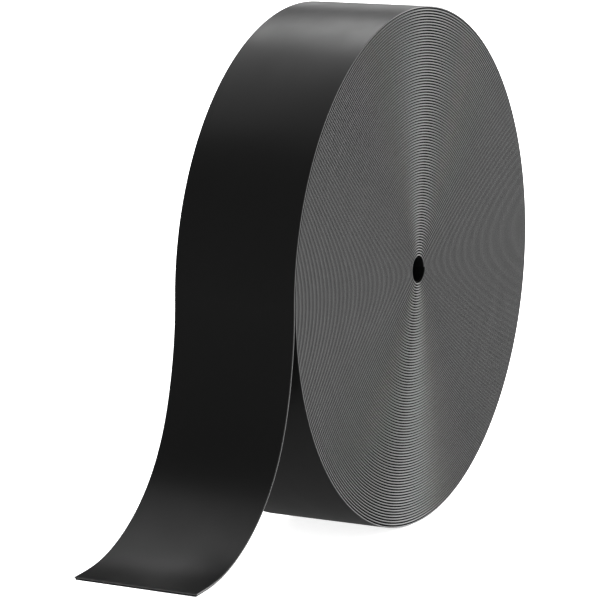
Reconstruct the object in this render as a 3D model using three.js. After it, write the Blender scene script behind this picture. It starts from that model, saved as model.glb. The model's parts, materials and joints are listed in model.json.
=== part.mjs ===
// A coreless roll of electrical tape standing on its tread, with its free end peeled off.
// Lengths are millimetres. The origin is the middle of the roll, +Y is the roll's axis and
// +Z is up. The free end hangs on the -X side.
//
// The tape is one strip of PVC film with adhesive on its inner side, wound 89.5 times. A
// place along the winding is given in turns, from 0 at the strip's inner end to turnCount
// where the free end leaves the roll, which is always at -X. The winding climbs outwards as it
// goes from +X over +Z to -X.

import * as THREE from 'three';

// The strip
const tapeWidth = 19;
const filmThickness = 0.2;
const adhesiveThickness = 0.21;

// The winding
const boreRadius = 1.65;
const turnCount = 89.5;
const turnGroups = 8;

// The stretch of the outermost turn that peels off, up to the line where the tape leaves the
// roll
const peelTurns = 0.25;
const peelLinks = 6;

// The free tail, as arcs that follow each other. It starts straight down, and each arc bends
// it further outwards.
const tailArcs = [
  { length: 17.5, bend: 20.3 },
  { length: 31.5, bend: 69.7 },
];
const tailLinks = 8;

// Clearances between pieces that move
const hingeGap = 0.3;
const peelGap = 0.05;

// Flats that stand for one round turn, fewer where the winding is tight
const flatsPerTurn = 72;
const flatsPerTightTurn = 24;
const tightRadius = 5;

const layerPitch = filmThickness + adhesiveThickness;
const fullCircle = 2 * Math.PI;

const film = new THREE.MeshStandardMaterial({ color: 0x161616, roughness: 0.45, metalness: 0 });
const adhesive = new THREE.MeshStandardMaterial({ color: 0x0b0b0b, roughness: 0.8, metalness: 0 });
const woundTape = new THREE.MeshStandardMaterial({ color: 0x5c5c5c, roughness: 0.6, metalness: 0 });

const roll = new THREE.Group();

// Adds a piece as wide as the tape, from its outline in the XZ plane and any hole in it.
function addPiece(name, material, outline, holes = []) {
  const shape = new THREE.Shape(outline);
  shape.holes = holes.map((hole) => new THREE.Path(hole));
  const geometry = new THREE.ExtrudeGeometry(shape, { depth: tapeWidth, bevelEnabled: false });
  geometry.translate(0, 0, -tapeWidth / 2);
  geometry.rotateX(Math.PI / 2);
  const mesh = new THREE.Mesh(geometry, material);
  mesh.name = name;
  roll.add(mesh);
}

// Radius of the winding at a place in turns, a depth outwards from the strip's inner face.
function windingRadius(turn, depth) {
  return boreRadius + layerPitch * turn + depth;
}

// The direction of a turn, as seen from the roll's axis.
function windingRay(turn) {
  const angle = fullCircle * (turn - turnCount + 0.5);
  return new THREE.Vector2(Math.cos(angle), Math.sin(angle));
}

function windingCorner(turn, depth) {
  return windingRay(turn).multiplyScalar(windingRadius(turn, depth));
}

// Corners lie half a flat away from +X, so that the roll stands on the middle of a flat.
function cornerTurn(index, flats) {
  return (index + 0.5) / flats + turnCount - 0.5;
}

function cornerBefore(turn, flats) {
  return Math.floor((turn - turnCount + 0.5) * flats - 0.5);
}

// The point of the flat-sided winding in the direction of this turn.
function windingPoint(turn, depth, flats) {
  const index = cornerBefore(turn, flats);
  const start = windingCorner(cornerTurn(index, flats), depth);
  const side = windingCorner(cornerTurn(index + 1, flats), depth).sub(start);
  const ray = windingRay(turn);
  return ray.multiplyScalar(start.cross(side) / ray.cross(side));
}

// The flat-sided winding between two turns, with both end points.
function windingArc(from, to, depth) {
  const tight = windingRadius(from, depth) < tightRadius;
  const flats = tight ? flatsPerTightTurn : flatsPerTurn;
  const points = [windingPoint(from, depth, flats)];
  let index = cornerBefore(from, flats) + 1;
  for (; cornerTurn(index, flats) < to; index += 1) {
    points.push(windingCorner(cornerTurn(index, flats), depth));
  }
  points.push(windingPoint(to, depth, flats));
  return points;
}

// One stretch of the strip's two layers on the winding, lifted off the turn below by a gap.
function addStretch(name, from, to, gap = 0) {
  const inner = windingArc(from, to, gap);
  const middle = windingArc(from, to, gap + adhesiveThickness);
  const outer = windingArc(from, to, gap + layerPitch);
  addPiece(`${name}_adhesive`, adhesive, [...inner, ...middle.toReversed()]);
  addPiece(`${name}_film`, film, [...middle, ...outer.toReversed()]);
}

// A group of whole turns. Both its walls are one turn of the winding, with the step of one
// layer where the group's tape starts or ends.
function addTurnGroup(name, from, to) {
  const outside = windingArc(to - 1, to, layerPitch);
  const inside = windingArc(from, from + 1, 0);
  addPiece(name, woundTape, outside, [inside]);
}

// Place and heading of the tail's middle line at a distance from where the tape leaves the
// roll. The heading is the angle from straight down, outwards.
function tailPlace(distance) {
  let x = -windingRadius(turnCount, peelGap + layerPitch / 2);
  let z = 0;
  let heading = 0;
  let left = distance;
  for (const { length, bend } of tailArcs) {
    const bendRadius = length / THREE.MathUtils.degToRad(bend);
    const next = heading + Math.min(left, length) / bendRadius;
    x -= bendRadius * (Math.cos(heading) - Math.cos(next));
    z -= bendRadius * (Math.sin(next) - Math.sin(heading));
    heading = next;
    left = Math.max(left - length, 0);
  }
  return new THREE.Vector2(x, z);
}

// One straight link of the tail between two points of its middle line, cut back by half the
// hinge gap at its start, and at its end unless that is the tape's own end.
function addTailLink(name, start, end, isLast) {
  const along = end.clone().sub(start).normalize();
  const outwards = new THREE.Vector2(along.y, -along.x);
  const near = start.clone().addScaledVector(along, hingeGap / 2);
  const far = end.clone().addScaledVector(along, isLast ? 0 : -hingeGap / 2);
  const layer = (inner, outer) => [
    near.clone().addScaledVector(outwards, inner),
    far.clone().addScaledVector(outwards, inner),
    far.clone().addScaledVector(outwards, outer),
    near.clone().addScaledVector(outwards, outer),
  ];
  const between = adhesiveThickness - layerPitch / 2;
  addPiece(`${name}_adhesive`, adhesive, layer(-layerPitch / 2, between));
  addPiece(`${name}_film`, film, layer(between, layerPitch / 2));
}

// The wound tape that stays on the roll: its first turn, groups of turns, and the part of the
// outermost turn that doesn't peel.
const outermostStart = turnCount - 1;
const peelStart = turnCount - peelTurns;
const halfGapTurns = hingeGap / 2 / (fullCircle * windingRadius(turnCount, layerPitch));

addStretch('first_turn', 0, 1);
const groupTurns = (outermostStart - 1) / turnGroups;
for (let group = 1; group <= turnGroups; group += 1) {
  const from = Math.round(1 + (group - 1) * groupTurns);
  const to = group === turnGroups ? outermostStart : Math.round(1 + group * groupTurns);
  addTurnGroup(`turns_group_${group}`, from, to);
}
addStretch('outer_turn', outermostStart, peelStart - halfGapTurns);

// The peeling stretch, as links that hinge in the gaps between them.
const linkTurns = peelTurns / peelLinks;
for (let link = 1; link <= peelLinks; link += 1) {
  const from = peelStart + (link - 1) * linkTurns + halfGapTurns;
  const to = peelStart + link * linkTurns - halfGapTurns;
  addStretch(`peel_${link}`, from, to, peelGap);
}

// The free tail, as links of equal length.
const tailLength = tailArcs.reduce((sum, arc) => sum + arc.length, 0);
for (let link = 1; link <= tailLinks; link += 1) {
  const start = tailPlace(((link - 1) / tailLinks) * tailLength);
  const end = tailPlace((link / tailLinks) * tailLength);
  addTailLink(`tail_${link}`, start, end, link === tailLinks);
}

export default roll;
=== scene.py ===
"""A coreless roll of black electrical tape, standing on its tread, with its free end peeled.

The tape is one strip of PVC film with adhesive on its inner side. It is wound from a small
hole outwards, leaves the roll on the -X side, and hangs there as a tail. Lengths in this
script are millimetres until they reach a mesh, a light or the camera, which take metres.
"""

import json
import math

import bpy
import numpy as np
from mathutils import Matrix, Vector


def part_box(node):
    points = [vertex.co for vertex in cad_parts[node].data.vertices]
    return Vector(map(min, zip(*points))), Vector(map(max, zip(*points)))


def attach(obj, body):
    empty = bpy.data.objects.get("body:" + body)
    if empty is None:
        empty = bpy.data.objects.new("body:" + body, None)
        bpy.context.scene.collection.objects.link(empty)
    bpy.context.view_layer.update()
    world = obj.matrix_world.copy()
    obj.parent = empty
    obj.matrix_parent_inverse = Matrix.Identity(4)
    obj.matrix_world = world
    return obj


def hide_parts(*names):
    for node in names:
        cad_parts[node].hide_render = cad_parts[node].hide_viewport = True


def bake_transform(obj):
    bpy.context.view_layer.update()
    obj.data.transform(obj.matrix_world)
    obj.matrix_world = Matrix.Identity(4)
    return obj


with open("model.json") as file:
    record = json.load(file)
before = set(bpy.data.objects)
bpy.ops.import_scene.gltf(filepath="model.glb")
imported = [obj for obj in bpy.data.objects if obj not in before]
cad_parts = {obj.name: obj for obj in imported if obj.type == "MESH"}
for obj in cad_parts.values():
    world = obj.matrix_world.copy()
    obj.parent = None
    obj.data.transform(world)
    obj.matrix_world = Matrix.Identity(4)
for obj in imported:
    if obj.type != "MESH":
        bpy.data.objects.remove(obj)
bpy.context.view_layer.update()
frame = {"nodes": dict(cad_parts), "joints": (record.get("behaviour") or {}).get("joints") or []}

MM = 0.001

# The strip, as the CAD has it
FILM_THICKNESS = 0.20
ADHESIVE_THICKNESS = 0.21
LAYER_PITCH = FILM_THICKNESS + ADHESIVE_THICKNESS
BORE_RADIUS = 1.65
TURN_COUNT = 89.5
PEEL_TURNS = 0.25
PEEL_LINKS = 6
TAIL_LINKS = 8
HINGE_GAP = 0.3

# The adhesive is coated a little short of the film's slit edges. The knife leaves the edges'
# corners broken, and whitens a border of the film's faces.
ADHESIVE_RECESS = 0.2
SLIT_CORNER = 0.05
WHITENED_DEPTH = 0.14

# Fineness of the meshes: steps in the outermost turn, millimetres between steps on a link, and
# the angle in degrees past which an edge stays sharp
OUTER_TURN_STEPS = 190
LINK_STEP = 0.12
SHARP_ANGLE = 40

# The bake map's name, the part of its width that the laps take, the gap at each side of a
# band, the heights of the patches for the strip's two ends, and the part of a lap that a link
# takes
BAKE_MAP = "OFBake"
BAKE_WIDTH = 0.9
BAKE_GAP = 0.05
END_PATCH_HEIGHTS = (0.2, 0.7)
LINK_LAP = 0.99

# The soft boxes' distance, in metres, and the brightness of the room around them
LIGHT_DISTANCE = 0.6
ROOM_RADIANCE = 1.5

# The camera's place in millimetres, its turn from looking along +Y and its turn downwards in
# degrees, and its lens in millimetres on a sensor this wide
CAMERA_PLACE = (-420.82, -214.17, 76.57)
CAMERA_AZIMUTH = -61.921
CAMERA_ELEVATION = 9.857
CAMERA_LENS = 192.68
SENSOR_WIDTH = 36


def node_box(*names):
    """Lowest and highest corner of these CAD nodes together, in millimetres."""
    boxes = [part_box(name) for name in names]
    low = np.min([np.array(box[0]) for box in boxes], axis=0) / MM
    high = np.max([np.array(box[1]) for box in boxes], axis=0) / MM
    return low, high


TAPE_WIDTH = float(np.ptp(node_box("outer_turn_film"), axis=0)[1])
FLOOR_HEIGHT = float(node_box("outer_turn_film")[0][2])
HINGES = {j["child"]: np.array(j["pos_m"])[[0, 2]] / MM for j in frame["joints"]}


# ---------------------------------------------------------------- the strip's middle line

def winding_radius(turn, depth):
    """Radius at a place in turns: the hole's radius, one layer for each turn, and a depth."""
    return BORE_RADIUS + LAYER_PITCH * turn + depth


def winding_line(turns, depth):
    """Points (x, z) and outward directions on the spiral, whose end at TURN_COUNT is at -X."""
    angle = 2 * np.pi * (turns - TURN_COUNT + 0.5)
    outward = np.column_stack((np.cos(angle), np.sin(angle)))
    return outward * winding_radius(turns, depth)[:, None], outward


def peel_line(turns):
    """The same spiral for the stretch that peels. It lifts smoothly towards its end, from
    the winding to the first hinge of the tail."""
    start = TURN_COUNT - PEEL_TURNS
    lift_end = -HINGES["tail_1"][0] - winding_radius(TURN_COUNT, LAYER_PITCH / 2)
    share = np.clip((turns - start) / PEEL_TURNS, 0, 1)
    lift = lift_end * share * share * (3 - 2 * share)
    middle, outward = winding_line(turns, LAYER_PITCH / 2)
    return middle + outward * lift[:, None], outward


def tail_knots():
    """The tail's hinges, and its tip, which lies as far past the middle of the last link as
    that link starts before it."""
    last = f"tail_{TAIL_LINKS}"
    low, high = node_box(f"{last}_film", f"{last}_adhesive")
    centre = ((low + high) / 2)[[0, 2]]
    along = centre - HINGES[last]
    along /= np.linalg.norm(along)
    tip = 2 * centre - HINGES[last] - along * HINGE_GAP / 2
    return np.array([HINGES[f"tail_{k + 1}"] for k in range(TAIL_LINKS)] + [tip])


def spline_slopes(knots, places):
    """Slopes of the cubic spline through the knots that starts straight down and ends with
    no bending. They solve the usual tridiagonal system of equal curvatures at each knot."""
    count = len(knots)
    gaps = np.diff(places)
    chords = np.diff(knots, axis=0) / gaps[:, None]
    system = np.zeros((count, count))
    right = np.zeros((count, 2))
    system[0, 0] = 1
    right[0] = (0, -1)
    for k in range(1, count - 1):
        system[k, k - 1:k + 2] = 1 / gaps[k - 1], 2 / gaps[k - 1] + 2 / gaps[k], 1 / gaps[k]
        right[k] = 3 * (chords[k - 1] / gaps[k - 1] + chords[k] / gaps[k])
    system[-1, -2:] = 1, 2
    right[-1] = 3 * chords[-1]
    return np.linalg.solve(system, right)


TAIL_KNOTS = tail_knots()
TAIL_PLACES = np.insert(np.cumsum(np.linalg.norm(np.diff(TAIL_KNOTS, axis=0), axis=1)), 0, 0)
TAIL_SLOPES = spline_slopes(TAIL_KNOTS, TAIL_PLACES)


def tail_line(places):
    """Points and outward directions on the tail: cubic pieces between the hinges, each from
    the two end points and slopes. Outwards is the line's direction turned a quarter turn."""
    index = np.clip(np.searchsorted(TAIL_PLACES, places, side="right") - 1, 0, TAIL_LINKS - 1)
    gap = (TAIL_PLACES[index + 1] - TAIL_PLACES[index])[:, None]
    t = (places - TAIL_PLACES[index])[:, None] / gap
    a, b = TAIL_KNOTS[index], TAIL_KNOTS[index + 1]
    u, v = TAIL_SLOPES[index] * gap, TAIL_SLOPES[index + 1] * gap
    middle = (
        a * (2 * t**3 - 3 * t**2 + 1) + u * (t**3 - 2 * t**2 + t)
        + b * (3 * t**2 - 2 * t**3) + v * (t**3 - t**2)
    )
    along = (
        a * (6 * t**2 - 6 * t) + u * (3 * t**2 - 4 * t + 1)
        + b * (6 * t - 6 * t**2) + v * (3 * t**2 - 2 * t)
    )
    along /= np.linalg.norm(along, axis=1)[:, None]
    return middle, np.column_stack((along[:, 1], -along[:, 0]))


# ---------------------------------------------------------------- meshes

def strip_section(inner, outer, width, corner):
    """The corners of a strip's cross-section as (depth, across): a rectangle from the inner
    to the outer depth, centred across, with each corner cut off by this much. The first side
    lies at -Y, and the sides go round over the outer face."""
    depth = np.array([inner, outer, outer, outer, outer, inner, inner, inner])
    depth += np.array([1, -1, 0, 0, -1, 1, 0, 0]) * corner
    side = width / 2 - np.array([0, 0, corner, corner] * 2)
    across = np.array([-1, -1, -1, 1, 1, 1, 1, -1]) * side
    section = np.column_stack((depth, across))
    return section if corner else section[[0, 1, 4, 5]]


def bake_map(mesh, laps, section):
    """The map that the strip's patterns are baked through. Across it goes each step's place
    in its lap, so that later laps lie on earlier ones and the outermost is what shows. Up it
    goes one band for each side of the section, as high as the root of the side's width. The
    two ends lie in its last columns."""
    corners = len(section)
    widths = np.linalg.norm(np.roll(section, -1, axis=0) - section, axis=1)
    share = np.sqrt(widths) / np.sqrt(widths).sum()
    top = np.cumsum(share)
    low, high = top - share * (1 - BAKE_GAP), top - share * BAKE_GAP
    uv = np.empty((len(laps) - 1, corners, 4, 2))
    start = (laps[:-1] % 1)[:, None, None]
    uv[:, :, :2, 0] = start * BAKE_WIDTH
    uv[:, :, 2:, 0] = (start + np.diff(laps)[:, None, None]) * BAKE_WIDTH
    uv[:, :, [0, 3], 1] = low[:, None]
    uv[:, :, [1, 2], 1] = high[:, None]
    patch = (1 - BAKE_WIDTH) / 3
    end = (section - section.min(axis=0)) / np.ptp(section, axis=0) * patch
    ends = [end[::-1] + (BAKE_WIDTH + 1.5 * patch, height) for height in END_PATCH_HEIGHTS]
    every = np.vstack((uv.reshape(-1, 2), *ends))
    mesh.uv_layers.new(name=BAKE_MAP).data.foreach_set("uv", every.ravel())


def strip_mesh(name, middle, outward, start_length, laps, section, materials):
    """A closed strip along a line: the cross-section stands at each point of the line, with
    its depth along the outward direction and its width along Y. The materials are for its
    faces, for the slit sides that face -Y and +Y, and for its two ends. The point attribute
    strip_place holds each point's length along the tape, place across it and depth. Laps are
    the steps' places for the bake map."""
    count, corners = len(middle), len(section)
    depths, across = section.T
    steps = np.linalg.norm(np.diff(middle, axis=0), axis=1)
    lengths = start_length + np.insert(np.cumsum(steps), 0, 0)
    points = middle[:, None, :] + outward[:, None, :] * depths[None, :, None]
    co = np.empty((count, corners, 3))
    co[:, :, 0] = points[:, :, 0]
    co[:, :, 1] = across
    co[:, :, 2] = points[:, :, 1]
    corner = np.arange(corners)
    after = np.roll(corner, -1)
    base = corners * np.arange(count - 1)[:, None]
    ahead = base + corners
    quads = np.stack((base + corner, base + after, ahead + after, ahead + corner), -1)
    caps = [corner[::-1].tolist(), (corners * (count - 1) + corner).tolist()]
    mesh = bpy.data.meshes.new(name)
    mesh.from_pydata((co.reshape(-1, 3) * MM).tolist(), [], quads.reshape(-1, 4).tolist() + caps)
    for material in materials:
        mesh.materials.append(material)
    is_slit = across == across[after]
    finish = np.append(np.tile(is_slit, count - 1), (2, 2))
    mesh.polygons.foreach_set("material_index", finish.astype(np.int32))
    place = np.empty((count, corners, 3))
    place[:, :, 0] = lengths[:, None]
    place[:, :, 1] = across
    place[:, :, 2] = depths
    attribute = mesh.attributes.new("strip_place", "FLOAT_VECTOR", "POINT")
    attribute.data.foreach_set("vector", place.ravel())
    bake_map(mesh, laps, section)
    mesh.shade_smooth()
    mesh.set_sharp_from_angle(angle=math.radians(SHARP_ANGLE))
    mesh.update()
    piece = bpy.data.objects.new(name, mesh)
    bpy.context.scene.collection.objects.link(piece)
    return piece


def wound_length(turn):
    """Length of tape wound up to a place in turns: the integral of the middle radius."""
    return 2 * np.pi * (winding_radius(0, LAYER_PITCH / 2) * turn + LAYER_PITCH * turn**2 / 2)


def both_layers(name, middle, outward, start_length, laps):
    """The film and the adhesive along one line, as two pieces. The film meets the adhesive at
    the adhesive's thickness from the tape's inner face."""
    between = ADHESIVE_THICKNESS - LAYER_PITCH / 2
    film_section = strip_section(between, LAYER_PITCH / 2, TAPE_WIDTH, SLIT_CORNER)
    film = strip_mesh(
        f"{name}_film", middle, outward, start_length, laps, film_section,
        [FILM_FACE, FILM_EDGE, FILM_END],
    )
    coated_width = TAPE_WIDTH - 2 * ADHESIVE_RECESS
    adhesive_section = strip_section(-LAYER_PITCH / 2, between, coated_width, 0)
    adhesive = strip_mesh(
        f"{name}_adhesive", middle, outward, start_length, laps, adhesive_section,
        [ADHESIVE, ADHESIVE_EDGE, ADHESIVE_EDGE],
    )
    return film, adhesive


# ---------------------------------------------------------------- materials

def linear(code):
    """The linear colour of an sRGB hex value such as "202020"."""
    parts = np.array([int(code[i:i + 2], 16) for i in (0, 2, 4)]) / 255
    parts = np.where(parts <= 0.04045, parts / 12.92, ((parts + 0.055) / 1.055) ** 2.4)
    return (*parts.tolist(), 1.0)


def add(tree, kind, settings=None, inputs=None):
    """A node of this kind. Settings are its properties."""
    made = tree.nodes.new(kind)
    for key, value in (settings or {}).items():
        setattr(made, key, value)
    set_inputs(tree, made, inputs or {})
    return made


def set_inputs(tree, node, inputs):
    """Gives a node its inputs. Each is a value, or an output of another node to link."""
    for key, value in inputs.items():
        if isinstance(value, bpy.types.NodeSocket):
            tree.links.new(value, node.inputs[key])
        else:
            node.inputs[key].default_value = value


def new_material(name):
    """An empty material with its Principled shader and the strip's own coordinates, in
    millimetres along the tape, across it and through it."""
    material = bpy.data.materials.new(name)
    material.use_nodes = True
    tree = material.node_tree
    shader = tree.nodes["Principled BSDF"]
    place = add(tree, "ShaderNodeAttribute", {"attribute_name": "strip_place"})
    return material, tree, shader, place.outputs["Vector"]


def mottle(tree, place, along, across, detail=2.0, roughness=0.5):
    """A smooth random pattern from 0 to 1, with features this long and this wide in mm."""
    stretched = add(
        tree, "ShaderNodeMapping", None,
        {"Vector": place, "Scale": (1 / along, 1 / across, 1)},
    )
    pattern = add(
        tree, "ShaderNodeTexNoise", None,
        {
            "Vector": stretched.outputs["Vector"], "Scale": 1.0,
            "Detail": detail, "Roughness": roughness,
        },
    )
    return pattern.outputs["Fac"]


def calendered_pvc():
    """Soft black PVC film, rolled between calender cylinders: a satin skin with a fine grain
    and faint drawn lines along the tape. It gives wide soft highlights. The border next to a
    slit edge is whitened."""
    material, tree, shader, place = new_material("calendered_black_pvc_film")
    grain = mottle(tree, place, 0.5, 0.3)
    drawn = mottle(tree, place, 60.0, 0.8, detail=3.0)
    handled = mottle(tree, place, 14.0, 9.0, detail=3.0, roughness=0.6)
    parts = add(tree, "ShaderNodeSeparateXYZ", None, {"Vector": place})
    from_middle = add(tree, "ShaderNodeMath", {"operation": "ABSOLUTE"}, {0: parts.outputs["Y"]})
    whitened = add(
        tree, "ShaderNodeMapRange", None,
        {
            "Value": from_middle.outputs["Value"],
            "From Min": TAPE_WIDTH / 2 - WHITENED_DEPTH,
            "From Max": TAPE_WIDTH / 2 - SLIT_CORNER,
        },
    )
    tone = add(
        tree, "ShaderNodeMix", {"data_type": "RGBA"},
        {"Factor": whitened.outputs["Result"], "A": linear("101010"), "B": linear("323232")},
    )
    rough = add(
        tree, "ShaderNodeMapRange", None,
        {"Value": handled, "From Min": 0.3, "From Max": 0.7, "To Min": 0.30, "To Max": 0.36},
    )
    lines = add(
        tree, "ShaderNodeBump", None,
        {"Height": drawn, "Strength": 0.05, "Distance": 0.05 * MM},
    )
    skin = add(
        tree, "ShaderNodeBump", None,
        {
            "Height": grain, "Strength": 0.12, "Distance": 0.02 * MM,
            "Normal": lines.outputs["Normal"],
        },
    )
    set_inputs(tree, shader, {
        "Base Color": tone.outputs["Result"],
        "IOR": 1.5,
        "Roughness": rough.outputs["Result"],
        "Normal": skin.outputs["Normal"],
    })
    return material


def slit_pvc():
    """The film's edge where a knife slit it. The cut whitens black PVC to a dull grey with
    fine scores along the tape, which spread a highlight across them."""
    material, tree, shader, place = new_material("slit_pvc_edge")
    scores = mottle(tree, place, 25.0, 1.0, detail=4.0, roughness=0.7)
    share = add(
        tree, "ShaderNodeMapRange", None, {"Value": scores, "From Min": 0.35, "From Max": 0.65},
    )
    tone = add(
        tree, "ShaderNodeMix", {"data_type": "RGBA"},
        {"Factor": share.outputs["Result"], "A": linear("6e6e6e"), "B": linear("787878")},
    )
    along = add(tree, "ShaderNodeTangent", {"direction_type": "UV_MAP", "uv_map": BAKE_MAP})
    set_inputs(tree, shader, {
        "Base Color": tone.outputs["Result"],
        "Roughness": 0.53,
        "Anisotropic": 1.0,
        "Anisotropic Rotation": 0.25,
        "Tangent": along.outputs["Tangent"],
    })
    return material


def cut_pvc():
    """The film's end where it was cut across. The blade drags the PVC, which whitens less than
    at the slit edges and gives the tape's end a thin grey line."""
    material, tree, shader, place = new_material("cut_pvc_end")
    dragged = mottle(tree, place, 1.0, 0.4, detail=3.0)
    share = add(
        tree, "ShaderNodeMapRange", None, {"Value": dragged, "From Min": 0.35, "From Max": 0.65},
    )
    tone = add(
        tree, "ShaderNodeMix", {"data_type": "RGBA"},
        {"Factor": share.outputs["Result"], "A": linear("262626"), "B": linear("343434")},
    )
    set_inputs(tree, shader, {"Base Color": tone.outputs["Result"], "Roughness": 0.6})
    return material


def tacky_rubber():
    """Black rubber adhesive, coated on the film: smooth and tacky, with a low orange peel that
    breaks up its soft gloss."""
    material, tree, shader, place = new_material("black_rubber_adhesive")
    peel = mottle(tree, place, 1.6, 1.1)
    rough = add(
        tree, "ShaderNodeMapRange", None,
        {"Value": peel, "From Min": 0.3, "From Max": 0.7, "To Min": 0.34, "To Max": 0.5},
    )
    bump = add(
        tree, "ShaderNodeBump", None,
        {"Height": peel, "Strength": 0.25, "Distance": 0.03 * MM},
    )
    set_inputs(tree, shader, {
        "Base Color": linear("0a0a0a"),
        "Specular IOR Level": 0.3,
        "Roughness": rough.outputs["Result"],
        "Normal": bump.outputs["Normal"],
    })
    return material


def slit_rubber():
    """The adhesive's cut edges: torn rubber, matt and black, so the gaps between the film's
    edges look empty."""
    material, tree, shader, place = new_material("slit_rubber_edge")
    torn = mottle(tree, place, 1.2, 0.3, detail=3.0, roughness=0.7)
    rough = add(
        tree, "ShaderNodeMapRange", None,
        {"Value": torn, "From Min": 0.3, "From Max": 0.7, "To Min": 0.85, "To Max": 1.0},
    )
    set_inputs(tree, shader, {
        "Base Color": linear("060606"),
        "Specular IOR Level": 0.1,
        "Roughness": rough.outputs["Result"],
    })
    return material


FILM_FACE = calendered_pvc()
FILM_EDGE = slit_pvc()
FILM_END = cut_pvc()
ADHESIVE = tacky_rubber()
ADHESIVE_EDGE = slit_rubber()


# ---------------------------------------------------------------- the roll and the tail

def even_bulges(start, end):
    """Places in turns whose steps all bulge alike from their chords: steps per turn grow with
    the root of the radius, so the radius to the power of 1.5 grows evenly."""
    first, last = winding_radius(np.array([start, end]), 0)
    per_turn = OUTER_TURN_STEPS / math.sqrt(winding_radius(TURN_COUNT, 0))
    count = math.ceil(per_turn * (last**1.5 - first**1.5) / 1.5 / LAYER_PITCH)
    radii = np.linspace(first**1.5, last**1.5, count + 1) ** (1 / 1.5)
    return (radii - BORE_RADIUS) / LAYER_PITCH


def make_winding():
    """All the turns that stay on the roll, up to the first peel hinge."""
    turns = even_bulges(0, TURN_COUNT - PEEL_TURNS)
    middle, outward = winding_line(turns, LAYER_PITCH / 2)
    film, adhesive = both_layers("wound", middle, outward, 0.0, turns)
    for piece in (film, adhesive):
        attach(piece, "roll")
    groups = [name for name in frame["nodes"] if name.startswith("turns_group_")]
    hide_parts("first_turn_film", "outer_turn_film", *groups)
    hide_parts("first_turn_adhesive", "outer_turn_adhesive")


def make_link(body, before, middle, outward, start_length):
    """One link of the strip, from its hinge to the next, as a film piece and an adhesive piece."""
    laps = np.linspace(0, LINK_LAP, len(middle))
    layers = both_layers(body, middle, outward, start_length, laps)
    for piece, layer in zip(layers, ("film", "adhesive")):
        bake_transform(piece)
        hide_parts(f"{body}_{layer}")


def make_peel():
    """The quarter turn that peels, link by link."""
    before = "roll"
    for k in range(PEEL_LINKS):
        body = f"peel_{k + 1}"
        hinges = TURN_COUNT - PEEL_TURNS * (1 - (k + np.arange(2)) / PEEL_LINKS)
        first, last = wound_length(hinges)
        turns = np.linspace(*hinges, int((last - first) / LINK_STEP))
        make_link(body, before, *peel_line(turns), first)
        before = body


def make_tail():
    """The free tail, link by link. It follows the last link that peels."""
    before = f"peel_{PEEL_LINKS}"
    for k, (start, end) in enumerate(zip(TAIL_PLACES, TAIL_PLACES[1:])):
        body = f"tail_{k + 1}"
        places = np.linspace(start, end, int((end - start) / LINK_STEP) + 2)
        make_link(body, before, *tail_line(places), wound_length(TURN_COUNT) + start)
        before = body


# ---------------------------------------------------------------- studio

def level_sheet(name, half_size, colour, glow):
    """A square matt sheet at the height of the floor, which also glows by itself. Its half size is
    in metres."""
    mesh = bpy.data.meshes.new(name)
    corners = [(-1, -1), (1, -1), (1, 1), (-1, 1)]
    height = FLOOR_HEIGHT * MM
    points = [(x * half_size, y * half_size, height) for x, y in corners]
    mesh.from_pydata(points, [], [(0, 1, 2, 3)])
    sheet = bpy.data.objects.new(name, mesh)
    bpy.context.scene.collection.objects.link(sheet)
    material = bpy.data.materials.new(name)
    material.use_nodes = True
    tree = material.node_tree
    set_inputs(tree, tree.nodes["Principled BSDF"], {
        "Base Color": linear(colour),
        "Roughness": 0.9,
        "Specular IOR Level": 0.0,
        "Emission Color": linear("ffffff"),
        "Emission Strength": glow,
    })
    mesh.materials.append(material)
    return sheet


def make_floor():
    """A white light table, which leaves only a faint shadow. Glossy surfaces see a small dim
    sheet round the roll instead, so that the dark tape mirrors it only from below."""
    floor = level_sheet("floor", half_size=8.0, colour="f2f2f2", glow=0.85)
    floor.visible_glossy = False
    reflector = level_sheet("reflector", half_size=0.12, colour="000000", glow=0.14)
    reflector.visible_camera = False
    reflector.visible_diffuse = False
    reflector.visible_transmission = False
    reflector.visible_shadow = False


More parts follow.
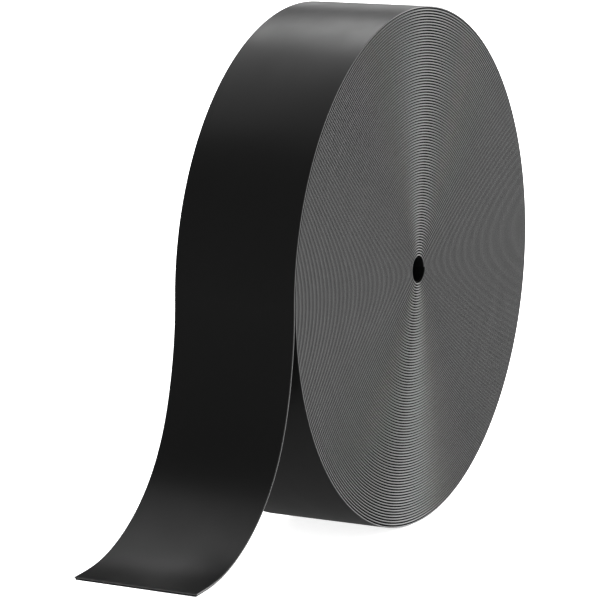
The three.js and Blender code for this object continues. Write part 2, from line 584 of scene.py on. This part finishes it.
def make_light(name, azimuth, elevation, half_angles, tilt, radiance):
    """A rectangular soft box that faces the roll's middle. Its place is given from +X towards
    +Y and up, its size as half the angles that the roll sees it under, and its tilt as the
    turn of its first side from level. All angles are degrees."""
    azimuth, elevation, tilt = (math.radians(angle) for angle in (azimuth, elevation, tilt))
    level = Vector((-math.sin(azimuth), math.cos(azimuth), 0))
    away = Vector((0, 0, math.sin(elevation))) + math.cos(elevation) * Vector(
        (math.cos(azimuth), math.sin(azimuth), 0))
    first = math.cos(tilt) * level + math.sin(tilt) * away.cross(level)
    sides = [2 * LIGHT_DISTANCE * math.tan(math.radians(angle)) for angle in half_angles]
    light = bpy.data.lights.new(name, "AREA")
    light.shape = "RECTANGLE"
    light.size, light.size_y = sides
    light.energy = radiance * math.pi * sides[0] * sides[1]
    lamp = bpy.data.objects.new(name, light)
    turn = Matrix((first, away.cross(first), away)).transposed()
    lamp.matrix_world = Matrix.LocRotScale(away * LIGHT_DISTANCE, turn, None)
    bpy.context.scene.collection.objects.link(lamp)


def make_world():
    """A pale room, which glossy surfaces don't see, as if black flags hid it from them."""
    world = bpy.data.worlds.new("studio")
    bpy.context.scene.world = world
    world.use_nodes = True
    tree = world.node_tree
    background = tree.nodes["Background"]
    background.inputs["Color"].default_value = linear("ffffff")
    path = add(tree, "ShaderNodeLightPath")
    strength = add(
        tree, "ShaderNodeMapRange", None,
        {"Value": path.outputs["Is Glossy Ray"], "To Min": ROOM_RADIANCE, "To Max": 0.0},
    )
    tree.links.new(strength.outputs["Result"], background.inputs["Strength"])


def make_camera():
    """The camera, level, turned by its azimuth and down by its elevation."""
    data = bpy.data.cameras.new("camera")
    data.lens = CAMERA_LENS
    data.sensor_width = SENSOR_WIDTH
    data.clip_start, data.clip_end = 0.01, 50
    camera = bpy.data.objects.new("camera", data)
    bpy.context.scene.collection.objects.link(camera)
    azimuth, elevation = math.radians(CAMERA_AZIMUTH), math.radians(CAMERA_ELEVATION)
    camera.location = Vector(CAMERA_PLACE) * MM
    camera.rotation_euler = (math.pi / 2 - elevation, 0, azimuth)
    bpy.context.scene.camera = camera


make_camera()
make_winding()
make_peel()
make_tail()
make_floor()
make_light(
    "overhead", azimuth=37.1, elevation=45.3, half_angles=(10.3, 2.0), tilt=50.3, radiance=6.4)
make_light("low", azimuth=18.6, elevation=15.9, half_angles=(12.6, 4.6), tilt=2.4, radiance=1.8)
make_light("wide", azimuth=72.0, elevation=57.1, half_angles=(30.3, 9.1), tilt=-1.7, radiance=1.07)
make_light("front", azimuth=-16.0, elevation=15.0, half_angles=(22.0, 15.0), tilt=0.0, radiance=6.2)
make_world()
bpy.context.scene.view_settings.view_transform = "Standard"
